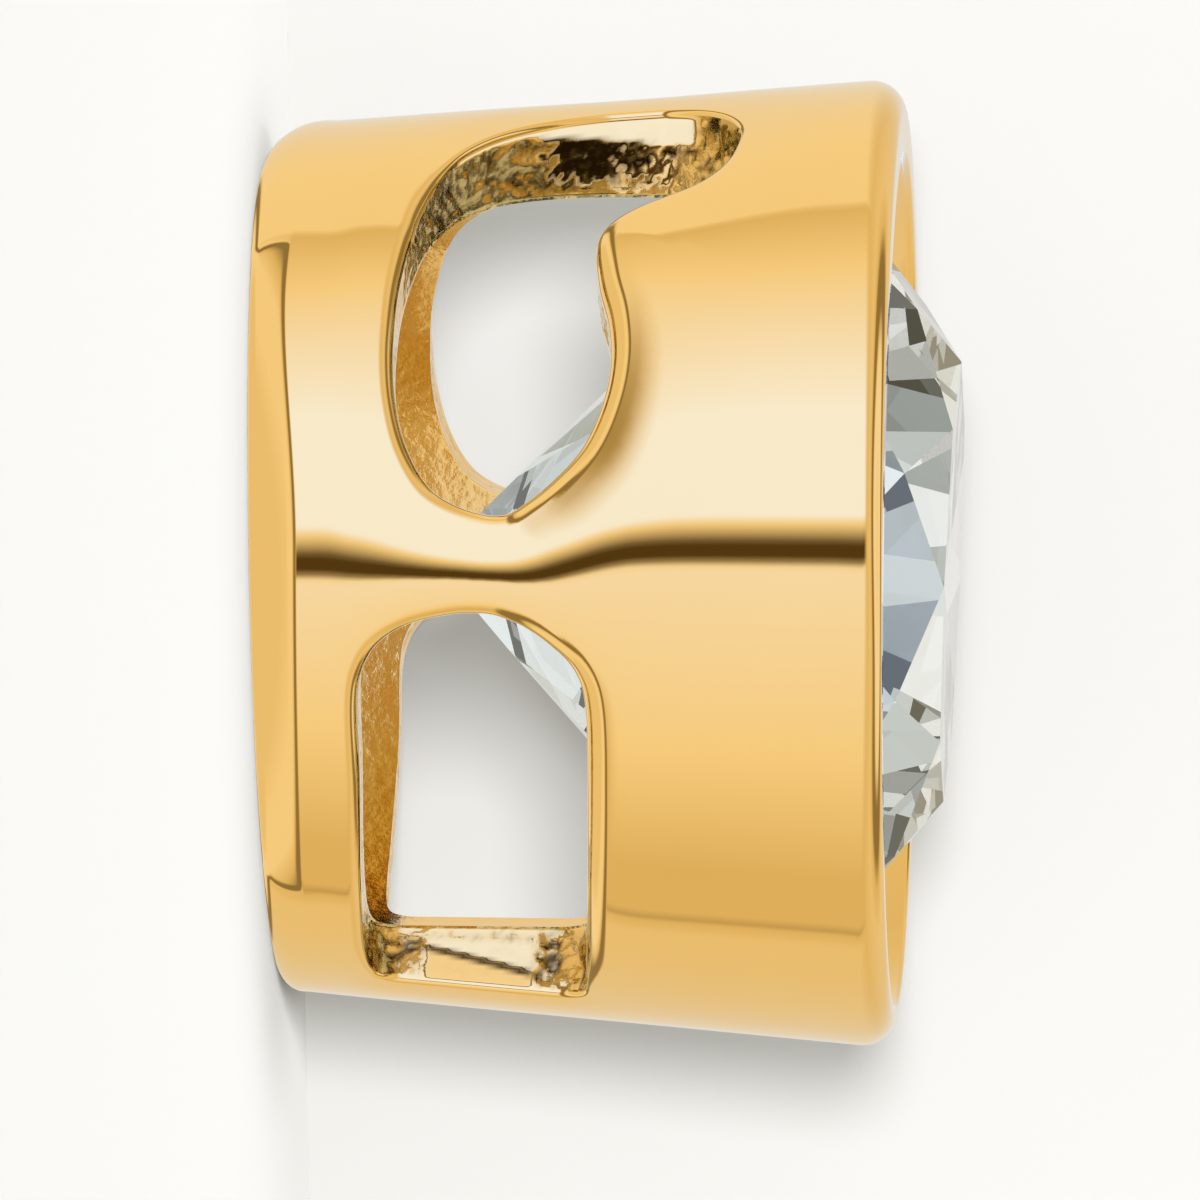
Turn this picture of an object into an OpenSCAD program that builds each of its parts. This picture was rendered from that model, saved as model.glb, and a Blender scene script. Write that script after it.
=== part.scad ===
// Slide pendant: a cast gold drum that holds one round brilliant-cut stone.
// The drum stands on its flat back rim. Z points out of the back towards the stone,
// Y points to the chain side, and X is the way that the chain runs through.
// The origin is the middle of the back rim. Sizes are in millimetres.

/* [Drum] */
// Outer radius of the drum at its back rim
back_r = 3.58; // [3.4:0.02:3.7]
// Growth of the outer radius for each millimetre towards the front
flare = 0.0855; // [0.06:0.0005:0.11]
// Distance from the back rim to the front rim, along the drum's own axis
depth = 5.22; // [5.18:0.02:5.4]
// Angle between the drum's own axis and the back rim's normal
lean = 1.6; // [0:0.2:3]
// Radius of the hollow behind the stone
bore_r = 3.11; // [3:0.01:3.12]
// Radius of the rounded outer corner at the back
back_round = 0.25; // [0.2:0.05:0.3]
// Radius of the rounded outer corner at the front
front_round = 0.27; // [0.15:0.01:0.28]

/* [Stone] */
// Diameter of the stone at its girdle
stone_d = 6.5; // [6.4:0.05:6.55]
// Width of the table from corner to corner, as a share of the diameter
table_share = 0.562; // [0.5:0.002:0.62]
// Angle of the crown's main facets
crown_a = 38.5; // [36:0.5:40]
// Angle of the pavilion's main facets
pavilion_a = 43.5; // [42:0.5:44]
// Height of the girdle's upright edge
girdle_t = 0.1; // [0.06:0.01:0.16]
// Height of the girdle's middle above the back rim, along the drum's axis
girdle_z = 4.47; // [4.42:0.01:4.5]
// Tip of the stone and its seat away from the drum's axis
stone_tip = 1.8; // [0:0.2:2.2]
// How far the stone and its seat sit below the drum's axis
stone_drop = 0.11; // [0:0.01:0.13]

/* [Setting] */
// Clearance between the stone and the metal
fit_gap = 0.03; // [0.02:0.005:0.05]
// Radius of the lip that is pressed over the crown
lip_r = 3.02; // [2.95:0.01:3.08]
// Radius of the front rim's inner edge
rim_in_r = 3.52; // [3.45:0.01:3.53]

/* [Hidden] */
$fn = 96;
gold = [0.86, 0.66, 0.31];
clear = [0.86, 0.91, 0.94];

stone_r = stone_d / 2;
table_r = stone_r * table_share;
star_r = stone_r * 0.754;    // where a star facet's outer tip lies
pavilion_r = stone_r * 0.24; // where two pavilion mains part
crown_h = (stone_r - table_r) * tan(crown_a);
pavilion_h = stone_r * tan(pavilion_a);
star_rise = crown_h - (star_r * cos(22.5) - table_r) * tan(crown_a); // of a star's tip over the girdle
edge_slope = star_rise / (stone_r - star_r); // of the crown's steepest edge, from there to the girdle

// The chain's opening on one side, in rows: angle up from the side, then lowest and highest point
chain_way = [[7.2, 1.97, 2.13], [8.5, 1.71, 2.25], [11, 1.48, 2.45], [16, 1.3, 2.73], [22, 1.2, 2.89],
    [28, 1.16, 2.95], [34, 1.16, 2.92], [40, 1.18, 2.83], [46.5, 1.23, 2.79], [50, 1.27, 2.88],
    [53, 1.3, 3.12], [57, 1.36, 3.58], [62, 1.46, 3.83], [69, 1.67, 3.92], [75, 1.99, 3.79],
    [79, 2.39, 3.55], [81, 2.8, 3.25]];
// The arched opening below it, which shows the stone's underside, in the same kind of rows
light_way = [[-5.6, 1.75, 2], [-7, 1.36, 2.25], [-9.5, 1.1, 2.48], [-13, 0.96, 2.69], [-18, 0.91, 2.78],
    [-30, 0.92, 2.79], [-49, 0.9, 2.76], [-64, 0.9, 2.72], [-70.5, 0.96, 2.68], [-72.3, 1.12, 2.5]];

function outer_r(z) = back_r + flare * z;
function arc(cx, cy, r, from, to, n) =
    [for (i = [0 : n]) let (a = from + (to - from) * i / n) [cx + r * cos(a), cy + r * sin(a)]];

// A smooth row of numbers through the rows of a short table
function smooth(rows, steps) = let (last = len(rows) - 1)
    concat([for (i = [0 : last - 1], k = [0 : steps - 1])
        let (t = k / steps, a = rows[max(i - 1, 0)], b = rows[i], c = rows[i + 1], d = rows[min(i + 2, last)])
            0.5 * (2 * b + (c - a) * t + (2 * a - 5 * b + 4 * c - d) * t * t + (3 * b - a - 3 * c + d) * t * t * t)],
        [rows[last]]);

// The space of one opening: its walls run straight towards the drum's axis
module opening(table) {
    rows = smooth(table, 3);
    n = len(rows);
    function at(r, row, z) = [r * cos(row[0]), r * sin(row[0]), z];
    // Four points a row: inner low, inner high, outer low, outer high
    points = [for (row = rows) for (r = [2, 5], k = [1, 2]) at(r, row, row[k])];
    function quad(a, b, c, d) = [[a, b, c], [a, c, d]];
    walls = [for (i = [0 : n - 2]) let (p = 4 * i, q = p + 4)
        each concat(quad(p, p + 1, q + 1, q), quad(p + 2, q + 2, q + 3, p + 3),
            quad(p, q, q + 2, p + 2), quad(p + 1, p + 3, q + 3, q + 1))];
    e = 4 * n - 4;
    faces = concat(walls, quad(0, 2, 3, 1), quad(e, e + 1, e + 3, e + 2));
    rising = rows[0][0] < rows[n - 1][0];
    polyhedron(points = points, faces = rising ? [for (f = faces) [f[0], f[2], f[1]]] : faces, convexity = 6);
}

module openings() {
    opening(chain_way);
    opening(light_way);
}

// The drum's solid outside, with its rounded front corner
module drum_outside() {
    corner_z = depth - front_round;
    corner_r = outer_r(corner_z) - front_round;
    rotate_extrude()
        polygon(concat([[0, -0.5], [outer_r(-0.5), -0.5]],
            arc(corner_r, corner_z, front_round, -4, 90, 8),
            [[0, depth]]));
}

// The hollow for the stone: seat under it, pocket round its girdle, lip over its crown
module head_hollow() {
    half = girdle_t / 2;
    pocket_r = stone_r + fit_gap;
    function under(r) = -half - (stone_r - r) * tan(pavilion_a) - fit_gap / cos(pavilion_a);
    function over(r) = half + (stone_r - r) * edge_slope + fit_gap * norm([1, edge_slope]);
    rim_z = depth - girdle_z;
    translate([0, -stone_drop, girdle_z])
        rotate([stone_tip, 0, 0])
            rotate_extrude()
                polygon([[0, under(0)], [pocket_r, under(pocket_r)], [pocket_r, over(pocket_r)],
                    [lip_r, over(lip_r)], [lip_r, over(lip_r) + 0.05], [rim_in_r, rim_z - 0.04],
                    [rim_in_r + 0.07, rim_z + 0.3], [0, rim_z + 0.3]]);
}

module drum_hollow() {
    translate([0, -stone_drop / 2, -1])
        cylinder(r = bore_r, h = girdle_z + 0.6);
}

// Trims the back flat and rounds its outer corner
module back_trim() {
    rotate_extrude()
        polygon(concat([[0, 0]],
            arc(back_r + 0.03 - back_round, back_round, back_round, -90, -24, 5),
            [[back_r + 0.3, back_round + 0.7], [6, back_round + 0.8], [6, 8], [0, 8]]));
}

module setting() {
    color(gold)
        intersection() {
            rotate([lean, 0, 0])
                difference() {
                    drum_outside();
                    drum_hollow();
                    head_hollow();
                    openings();
                    mirror([1, 0, 0])
                        openings();
                }
            back_trim();
        }
}

// A round brilliant: table, 8 stars, 8 kites, 16 upper and 16 lower girdle facets, 8 mains
module brilliant() {
    top_z = girdle_t / 2;
    part_z = -top_z - pavilion_h + pavilion_r * cos(22.5) * tan(pavilion_a);
    function ring(n, r, z, turn) = [for (i = [0 : n - 1]) [r * cos(360 * i / n + turn), r * sin(360 * i / n + turn), z]];
    // 0 to 7 table, 8 to 15 star tips, 16 to 31 girdle top, 32 to 47 girdle bottom, 48 to 55 pavilion, 56 culet
    points = concat(ring(8, table_r, top_z + crown_h, 0), ring(8, star_r, top_z + star_rise, 22.5),
        ring(16, stone_r, top_z, 0), ring(16, stone_r, -top_z, 0),
        ring(8, pavilion_r, part_z, 22.5), [[0, 0, -top_z - pavilion_h]]);
    faces = concat([[for (i = [7 : -1 : 0]) i]],
        [for (i = [0 : 7]) let (j = (i + 1) % 8) [i, j, 8 + i]],
        [for (i = [0 : 7]) let (h = (i + 7) % 8) [i, 8 + i, 16 + 2 * i, 8 + h]],
        [for (i = [0 : 7]) [16 + 2 * i, 8 + i, 17 + 2 * i]],
        [for (i = [0 : 7]) [17 + 2 * i, 8 + i, 16 + (2 * i + 2) % 16]],
        [for (i = [0 : 15]) let (j = (i + 1) % 16) [16 + i, 16 + j, 32 + j, 32 + i]],
        [for (i = [0 : 7]) [32 + 2 * i, 33 + 2 * i, 48 + i]],
        [for (i = [0 : 7]) [33 + 2 * i, 32 + (2 * i + 2) % 16, 48 + i]],
        [for (i = [0 : 7]) let (h = (i + 7) % 8) [32 + 2 * i, 48 + i, 56, 48 + h]]);
    polyhedron(points = points, faces = faces, convexity = 2);
}

module stone() {
    color(clear)
        rotate([lean, 0, 0])
            translate([0, -stone_drop, girdle_z])
                rotate([stone_tip, 0, 0])
                    brilliant();
}

setting();
stone();
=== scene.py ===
# %% [markdown]
# # A gold slide pendant with one round stone
# The pendant is a small cast drum of gold. A chain runs through its two upper side openings,
# and the front rim holds a brilliant-cut stone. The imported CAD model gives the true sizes.
# This lesson dresses it: every surface is rebuilt fine enough for a mirror polish, because
# polished metal shows each facet of a coarse mesh, and the studio is what the metal mirrors.

import math
from collections import Counter

import bmesh
import bpy
import numpy as np
from mathutils import Matrix, Vector, geometry, noise
from mathutils.kdtree import KDTree


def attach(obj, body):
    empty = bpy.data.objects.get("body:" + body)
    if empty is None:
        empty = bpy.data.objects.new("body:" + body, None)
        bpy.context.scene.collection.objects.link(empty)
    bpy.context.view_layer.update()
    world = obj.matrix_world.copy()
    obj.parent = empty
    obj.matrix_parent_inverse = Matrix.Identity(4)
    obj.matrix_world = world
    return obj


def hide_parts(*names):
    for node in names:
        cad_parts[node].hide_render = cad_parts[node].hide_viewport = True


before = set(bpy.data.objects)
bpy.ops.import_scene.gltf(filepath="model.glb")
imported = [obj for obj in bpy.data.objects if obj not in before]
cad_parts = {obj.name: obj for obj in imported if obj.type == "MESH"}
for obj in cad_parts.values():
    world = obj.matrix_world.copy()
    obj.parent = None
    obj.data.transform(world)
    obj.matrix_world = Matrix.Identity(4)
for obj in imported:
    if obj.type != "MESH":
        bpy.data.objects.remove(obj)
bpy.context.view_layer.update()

# %% [markdown]
# ## Named sizes
# They are the part's own sizes, in millimetres and degrees. The drum's axis leans a little
# from the floor's upright, and the stone is tipped a little in its seat, as in a real casting.
# The two tables give an opening's lowest and highest point at each angle up from the side.

# %% Sizes of the drum and the stone
BACK_R, FLARE, DEPTH, LEAN = 3.58, 0.0855, 5.22, 1.6
BORE_R, BORE_DROP = 3.11, 0.055
STONE_D, TABLE_SHARE, CROWN_A, PAVILION_A = 6.5, 0.562, 38.5, 43.5
GIRDLE_T, GIRDLE_Z, STONE_TIP, STONE_DROP = 0.1, 4.47, 1.8, 0.11
FIT_GAP, LIP_R, RIM_IN_R = 0.03, 3.02, 3.52
STONE_R, HALF_GIRDLE = STONE_D / 2, GIRDLE_T / 2
TABLE_R, STAR_R, PART_R = STONE_R * TABLE_SHARE, STONE_R * 0.754, STONE_R * 0.24    # where table, stars and mains end
CROWN, PAVILION = math.tan(math.radians(CROWN_A)), math.tan(math.radians(PAVILION_A))
CROWN_H = (STONE_R - TABLE_R) * CROWN
HALF_FOLD = 22.5        # degrees from the middle of a wedge to its edge
CHAIN_WAY = [[7.2, 1.97, 2.13], [8.5, 1.71, 2.25], [11, 1.48, 2.45], [16, 1.3, 2.73], [22, 1.2, 2.89],
             [28, 1.16, 2.95], [34, 1.16, 2.92], [40, 1.18, 2.83], [46.5, 1.23, 2.79], [50, 1.27, 2.88],
             [53, 1.3, 3.12], [57, 1.36, 3.58], [62, 1.46, 3.83], [69, 1.67, 3.92], [75, 1.99, 3.79],
             [79, 2.39, 3.55], [81, 2.8, 3.25]]
LIGHT_WAY = [[-5.6, 1.75, 2], [-7, 1.36, 2.25], [-9.5, 1.1, 2.48], [-13, 0.96, 2.69], [-18, 0.91, 2.78],
             [-30, 0.92, 2.79], [-49, 0.9, 2.76], [-64, 0.9, 2.72], [-70.5, 0.96, 2.68], [-72.3, 1.12, 2.5]]


def outer_r(z):
    return BACK_R + FLARE * z


def turned(points, degrees):
    """Points turned about X."""
    c, s = math.cos(math.radians(degrees)), math.sin(math.radians(degrees))
    x, y, z = np.asarray(points, float).T
    return np.stack([x, y * c - z * s, y * s + z * c], 1)


def leaned(points):
    """Drum's own axes to the model's, in millimetres."""
    return turned(points, LEAN)


def tipped(points):
    """The stone's axes to the drum's, in millimetres."""
    return turned(points, STONE_TIP) + [0, -STONE_DROP, GIRDLE_Z]


print("drum:", 2 * BACK_R, "mm across at the back,", round(2 * outer_r(DEPTH), 2), "mm at the front")

# %% [markdown]
# ## The camera
# A jewel this small is photographed with a long lens from far away, so that its sides stay
# parallel. The camera looks at the drum's side, almost along the floor, and is turned so that
# the chain side is up in the picture.

# %% Camera
CAMERA_MM = 270.0       # distance from the picture's middle to the lens
PX_PER_MM = 120.5       # in a picture of 1200 pixels
PICTURE, SENSOR = 1200, 36.0
TURN, RISE, ROLL = 2.75, 1.6, 0.55      # degrees off the drum's side, up from the floor and about the view
ORIGIN_PX = (272, 556.5)                # where the drum's origin lies in the picture
c, s = math.cos(math.radians(LEAN)), math.sin(math.radians(LEAN))
AXIS = Vector((0, -s, c))                       # the drum's axis, leaned
SIDE_UP = Vector((0, c, s))                     # across it, towards the chain side
AWAY = Vector((-1, 0, 0))                       # towards the camera's side
a, e = math.radians(TURN), math.radians(RISE)
to_camera = (AXIS * math.sin(a) * math.cos(e) + SIDE_UP * math.sin(e) + AWAY * math.cos(a) * math.cos(e)).normalized()
right = (AXIS * math.cos(a) - AWAY * math.sin(a)).normalized()
up = to_camera.cross(right).normalized()
r = math.radians(ROLL)
pic_right = right * math.cos(r) + up * math.sin(r)
pic_up = up * math.cos(r) - right * math.sin(r)
middle = (pic_right * ((PICTURE / 2 - ORIGIN_PX[0]) / PX_PER_MM)
          + pic_up * ((ORIGIN_PX[1] - PICTURE / 2) / PX_PER_MM))
cam_data = bpy.data.cameras.new("camera")
cam_data.sensor_width = SENSOR
cam_data.lens = SENSOR * CAMERA_MM / (PICTURE / PX_PER_MM)
cam_data.clip_start, cam_data.clip_end = 0.01, 20.0
camera = bpy.data.objects.new("camera", cam_data)
bpy.context.scene.collection.objects.link(camera)
turn = Matrix((pic_right, pic_up, to_camera)).transposed().to_4x4()
camera.matrix_world = Matrix.Translation((middle + to_camera * CAMERA_MM) * 0.001) @ turn
bpy.context.scene.camera = camera
print("lens:", round(cam_data.lens), "mm, camera", round(camera.location.z * 1000, 1), "mm above the floor")

# %% [markdown]
# ## Curves round the openings
# Each opening is drawn on the unrolled drum, as a closed curve through its table. For a point
# on the skin we then need its distance to that curve and the direction away from it: the
# rounded lip follows from those two.

# %% Opening curves
R_REF = 3.8             # radius at which the drum is unrolled


def smooth_rows(rows, steps):
    rows = np.asarray(rows, float)
    out = []
    for i in range(len(rows) - 1):
        a, b, c, d = rows[max(i - 1, 0)], rows[i], rows[i + 1], rows[min(i + 2, len(rows) - 1)]
        for k in range(steps):
            t = k / steps
            out.append(0.5 * (2 * b + (c - a) * t + (2 * a - 5 * b + 4 * c - d) * t ** 2
                              + (3 * b - a - 3 * c + d) * t ** 3))
    return np.array(out + [rows[-1]])


def resample(loop, spacing):
    closed = np.vstack([loop, loop[:1]])
    along = np.concatenate([[0], np.cumsum(np.linalg.norm(np.diff(closed, axis=0), axis=1))])
    n = max(8, int(round(along[-1] / spacing)))
    at = np.linspace(0, along[-1], n, endpoint=False)
    return np.stack([np.interp(at, along, closed[:, k]) for k in (0, 1)], 1)


def opening_curve(table, soften=0.05):
    rows = smooth_rows(table, 12)
    s = np.radians(rows[:, 0]) * R_REF
    loop = resample(np.vstack([np.stack([s, rows[:, 1]], 1), np.stack([s, rows[:, 2]], 1)[::-1]]), 0.01)
    reach = np.arange(-12, 13)
    weights = np.exp(-0.5 * (reach * 0.01 / soften) ** 2)
    weights /= weights.sum()
    loop = sum(w * np.roll(loop, k, axis=0) for k, w in zip(reach, weights))
    x, y = loop.T
    if np.sum(x * np.roll(y, -1) - y * np.roll(x, -1)) < 0:
        loop = loop[::-1]
    return loop


class Opening:
    """A closed curve on the unrolled drum, anticlockwise, with the lip's sizes in millimetres."""

    def __init__(self, name, table, lip, wide, sag, reach):
        self.name, self.lip, self.wide, self.sag, self.reach = name, lip, wide, sag, reach
        self.fine = resample(opening_curve(table), 0.012)
        along = np.roll(self.fine, -1, axis=0) - np.roll(self.fine, 1, axis=0)
        self.normal = np.stack([along[:, 1], -along[:, 0]], 1)
        self.normal /= np.linalg.norm(self.normal, axis=1)[:, None]   # away from the opening
        self.loop = self.fine[::3]
        self.loop_normal = self.normal[::3]

    def nearest(self, points):
        """Distance to the curve and the smoothed direction away from it, for points outside it."""
        far = np.full(len(points), 9.0)
        away = np.zeros((len(points), 2))
        coarse = self.fine[::12]
        near = np.full(len(points), np.inf)
        for q in coarse:
            near = np.minimum(near, ((points - q) ** 2).sum(1))
        pick = np.nonzero(near < 1.9 ** 2)[0]
        a, b = self.fine, np.roll(self.fine, -1, axis=0)
        na, nb = self.normal, np.roll(self.normal, -1, axis=0)
        ab = b - a
        length2 = (ab ** 2).sum(1)
        for start in range(0, len(pick), 2000):
            ids = pick[start:start + 2000]
            p = points[ids]
            t = np.clip(((p[:, None] - a) * ab).sum(2) / length2, 0, 1)
            q = a + t[..., None] * ab
            d2 = ((p[:, None] - q) ** 2).sum(2)
            k = d2.argmin(1)
            row = np.arange(len(ids))
            d = np.sqrt(d2[row, k])
            tt = t[row, k][:, None]
            smooth = na[k] * (1 - tt) + nb[k] * tt
            true = p - q[row, k]
            mix = np.clip(d / 0.05, 0, 1)[:, None]
            n = smooth * (1 - mix) + mix * true / np.maximum(d, 1e-9)[:, None]
            away[ids] = n / np.maximum(np.linalg.norm(n, axis=1), 1e-9)[:, None]
            far[ids] = d
        return far, away

    def holds(self, points):
        inside = np.zeros(len(points), bool)
        poly = self.fine[::2]
        x, y = points.T
        x0, y0 = poly[-1]
        for x1, y1 in poly:
            cross = (y1 > y) != (y0 > y)
            with np.errstate(divide="ignore", invalid="ignore"):
                inside ^= cross & (x < (x0 - x1) * (y - y1) / (y0 - y1) + x1)
            x0, y0 = x1, y1
        return inside


chain_way = Opening("chain_way", CHAIN_WAY, lip=0.12, wide=0.05, sag=0.062, reach=0.4)
light_way = Opening("light_way", LIGHT_WAY, lip=0.11, wide=0.06, sag=0.03, reach=0.2)
OPENINGS = (chain_way, light_way)
print("openings:", [(o.name, len(o.loop), "points round") for o in OPENINGS])

# %% [markdown]
# ## Skins with holes
# The drum's outside and its bore are each one unrolled sheet with two holes. A quad grid
# can't follow the curved holes, so the sheet is filled with triangles: rings of points hug
# each opening, an even grid fills the rest, and Delaunay triangulation joins them.

# %% Triangulate one unrolled sheet
HALF = math.pi / 2 * R_REF
ROUND = 200             # steps round half of the drum
SKIN_LOW, SKIN_HIGH = 0.6, 4.85         # heights between which the outside is a sheet
BORE_LOW, BORE_HIGH = 0.12, 3.95        # and those of the bore


def sheet(z_low, z_high, spacing, rings):
    edge_s = np.linspace(-HALF, HALF, ROUND + 1)
    nz = int(round((z_high - z_low) / spacing))
    edge_z = np.linspace(z_low, z_high, nz + 1)[1:-1]
    points = [np.stack([edge_s, np.full(ROUND + 1, z_low)], 1), np.stack([edge_s, np.full(ROUND + 1, z_high)], 1),
              np.stack([np.full(nz - 1, -HALF), edge_z], 1), np.stack([np.full(nz - 1, HALF), edge_z], 1)]
    count = sum(map(len, points))
    edges, starts = [], []
    for o in OPENINGS:
        starts.append(count)
        n = len(o.loop)
        edges += [(count + i, count + (i + 1) % n) for i in range(n)]
        points.append(o.loop)
        count += n
    free = []
    for o in OPENINGS:
        for step in rings:
            free.append(o.loop + o.loop_normal * step)
    step_s, step_z = spacing, spacing * math.sqrt(3) / 2
    rows = int((z_high - z_low) / step_z)
    for j in range(1, rows):
        z = z_low + (z_high - z_low) * j / rows
        s = np.arange(-HALF + step_s * (0.5 if j % 2 else 1), HALF - 0.3 * step_s, step_s)
        free.append(np.stack([s, np.full(len(s), z)], 1))
    free = np.vstack(free)
    keep = np.ones(len(free), bool)
    keep &= (free[:, 1] > z_low + 0.3 * spacing) & (free[:, 1] < z_high - 0.3 * spacing)
    keep &= np.abs(free[:, 0]) < HALF - 0.3 * spacing
    for k, o in enumerate(OPENINGS):
        d, _ = o.nearest(free)
        keep &= ~o.holds(free)
        limit = np.full(len(free), rings[-1] + 0.6 * spacing)
        base = 0
        for kk, other in enumerate(OPENINGS):
            for step in rings:
                span = slice(base, base + len(other.loop))
                limit[span] = 0.93 * step if kk == k else rings[-1] + 0.05
                base += len(other.loop)
        keep &= d > limit
    points = np.vstack(points + [free[keep]])
    made = geometry.delaunay_2d_cdt([Vector(p) for p in points], edges, [], 0, 1e-7)
    verts = np.array([points[ids[0]] if ids else tuple(v) for v, ids in zip(made[0], made[3])])
    tris = np.array([f for f in made[2] if len(f) == 3])
    middle = verts[tris].mean(1)
    solid = ~(OPENINGS[0].holds(middle) | OPENINGS[1].holds(middle))
    tris = tris[solid]
    flat = verts[tris]
    area = np.cross(flat[:, 1] - flat[:, 0], flat[:, 2] - flat[:, 0])
    tris[area < 0] = tris[area < 0][:, ::-1]
    return verts, tris


outer_sheet = sheet(SKIN_LOW, SKIN_HIGH, 0.085, (0.01, 0.024, 0.042, 0.064, 0.09, 0.125, 0.175, 0.24))
bore_sheet = sheet(BORE_LOW, BORE_HIGH, 0.11, (0.015, 0.04, 0.08))
print("skins:", len(outer_sheet[1]), "and", len(bore_sheet[1]), "triangles on half of the drum")

# %% [markdown]
# ## Rolling the sheets up
# A polished casting has no sharp edges: the lip of each opening is rounded over a tenth of a
# millimetre, and hand polishing lets the metal sag a little beyond that. Both are one drop
# from the cone, worked out from the distance to the opening. Its slope gives an exact normal
# for each point, so the reflections run smoothly over the triangles.

# %% Outer skin
def step_up(x, low, high):
    t = np.clip((x - low) / (high - low), 0, 1)
    return t * t * (3 - 2 * t)


def drop_and_slope(o, d, s, z, forward):
    """How far the skin lies under the cone at distance d from an opening, and the drop's slope."""
    deg = np.degrees(s / R_REF)
    if o is chain_way:      # the lip gets narrow along the top, where the wheel ran across it
        w = o.lip * (1 - 0.6 * step_up(deg, 55, 68))
        side = step_up(deg, 7, 16) * (1 - step_up(deg, 40, 56))
    else:
        w = o.lip * (1 - 0.6 * step_up(-deg, 60, 70))
        side = step_up(-deg, 5, 12) * (1 - step_up(-deg, 56, 68))
    w = w + o.wide * step_up(forward, -0.2, 0.95) * side
    t = np.clip((w - d) / w, 0, 0.9995)
    drop = w * (1 - np.sqrt(1 - t ** 2))
    slope = np.where(d < w, -t / np.sqrt(1 - t ** 2), 0.0)
    mask = step_up(z, 0.6, 0.85) * (1 - step_up(z, 4.3, 4.8))
    soft = o.sag * np.exp(-(d / o.reach) ** 1.5)
    drop = drop + soft * mask
    slope = slope - mask * soft * 1.5 / o.reach * (d / o.reach) ** 0.5
    return drop, slope


def hand_polish(s, z):
    """The wheel leaves the front half a hair's breadth out of round and thinner: that drop and its two slopes."""
    lobe = np.exp(-(s / 1.3) ** 2)
    low, high = 1.8, 3.2                    # heights between which it grows to the full
    grow = step_up(z, low, high)
    t = np.clip((z - low) / (high - low), 0, 1)
    amount = -0.042
    broad = 0.016 * np.exp(-(s / 3) ** 2)   # keeps the finer corner at the sides inside the casting's own size
    thin = 0.003 + broad
    return ((amount * s * lobe + thin) * grow, (amount * lobe * (1 - 2 * (s / 1.3) ** 2) - broad * 2 * s / 9) * grow,
            (amount * s * lobe + thin) * 6 * t * (1 - t) / (high - low))


def roll_out(points):
    s, z = points.T
    angle = s / R_REF
    drop, slope_s, slope_z = hand_polish(s, z)
    for o in OPENINGS:
        d, away = o.nearest(points)
        dd, sl = drop_and_slope(o, d, s, z, away[:, 1])
        drop += dd
        slope_s += sl * away[:, 0]
        slope_z += sl * away[:, 1]
    r = outer_r(z) - drop
    e_r = np.stack([np.cos(angle), np.sin(angle), np.zeros(len(s))], 1)
    e_s = np.stack([-np.sin(angle), np.cos(angle), np.zeros(len(s))], 1)
    e_z = np.array([0, 0, 1.0])
    normal = e_r + slope_s[:, None] * e_s + (slope_z - FLARE)[:, None] * e_z
    normal /= np.linalg.norm(normal, axis=1)[:, None]
    return e_r * r[:, None] + z[:, None] * e_z, normal


def trued(points, low):
    """Shifts the lowest stretch so that height 0 lies in the plane of the back rim."""
    shift = -points[:, 1] * math.tan(math.radians(LEAN)) * np.clip(1 - low / 0.9, 0, 1) ** 2
    out = points.copy()
    out[:, 2] += shift
    return out


def bore_point(angle, z, extra=0.0):
    c = BORE_DROP
    r = -c * np.sin(angle) + np.sqrt(BORE_R ** 2 - (c * np.cos(angle)) ** 2) + extra
    return np.stack([r * np.cos(angle), r * np.sin(angle), np.broadcast_to(z, angle.shape)], 1)


skin_xyz, skin_normal = roll_out(outer_sheet[0])
skin_xyz = trued(skin_xyz, outer_sheet[0][:, 1])
bore_xyz = trued(bore_point(bore_sheet[0][:, 0] / R_REF, bore_sheet[0][:, 1]), bore_sheet[0][:, 1])
bore_mid = np.array([0, -BORE_DROP, 0])
bore_normal = -(bore_xyz - bore_mid) * [1, 1, 0]
bore_normal /= np.linalg.norm(bore_normal, axis=1)[:, None]
zero = np.zeros(1)
lip_drops = [drop_and_slope(o, zero, zero, zero + 2.0, zero)[0][0] for o in OPENINGS]
print("lip drops:", [round(float(d), 3) for d in lip_drops], "mm")

# %% [markdown]
# ## The cut faces of the openings
# The openings were cast, not cut, so their faces keep a rough, pitted skin where the polishing
# wheel can't reach. Rows of points run from the outer lip to the bore, pushed in and out by
# noise that fades towards the polished lips.

# %% Cut faces
ROWS = 16
RELIEF = 0.045          # how far the cast lumps and pits reach, in mm


def cast_relief(p):
    """Small rounded lumps and pits of a casting, from about -1 to 1."""
    q = Vector(p) * 3.4
    warp = Vector([noise.noise(q * 0.8 + Vector(apart)) for apart in ((0, 0, 0), (5, 1, 3), (2, 8, 4))]) * 0.8
    coarse = noise.noise((q + warp) * 1.1)
    ridge = 1 - abs(noise.noise((q + warp) * 2.3)) * 2.4
    fine = noise.noise(q * 6.0)
    return 0.55 * coarse + 0.5 * ridge + 0.3 * fine


def roughness_at(o, s, z):
    """How rough the cut face is at each point of an opening's curve, from 0 to 1."""
    deg = np.degrees(s / R_REF)
    if o is chain_way:
        return 0.22 + 0.78 * step_up(deg, 42, 58)
    return 0.25 + 0.75 * step_up(-deg, 58, 69)


def top_edge(z):
    """How far the slanted edge of the chain way's top face reaches down from the lip, as a share of the wall."""
    return np.interp(z, [1.5, 1.62, 2.1, 3.4], [0.0, 0.1, 0.1, 0.38])


def crease(z):
    """Where a fold crosses the arched opening's lower face, as a share of the wall; the fold is in the normals alone,
    and the dark line along it is painted shade.
    """
    return np.interp(z, [1.35, 2.25], [0.6, 0.24])


# Which way the small flats face: they are what flashes white, light gold or dark in there
WHITE, DARK, LIGHT = np.array([0.97, 0.24, -0.05]), np.array([0.998, 0.012, -0.06]), np.array([0.97, -0.24, -0.03])


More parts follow.
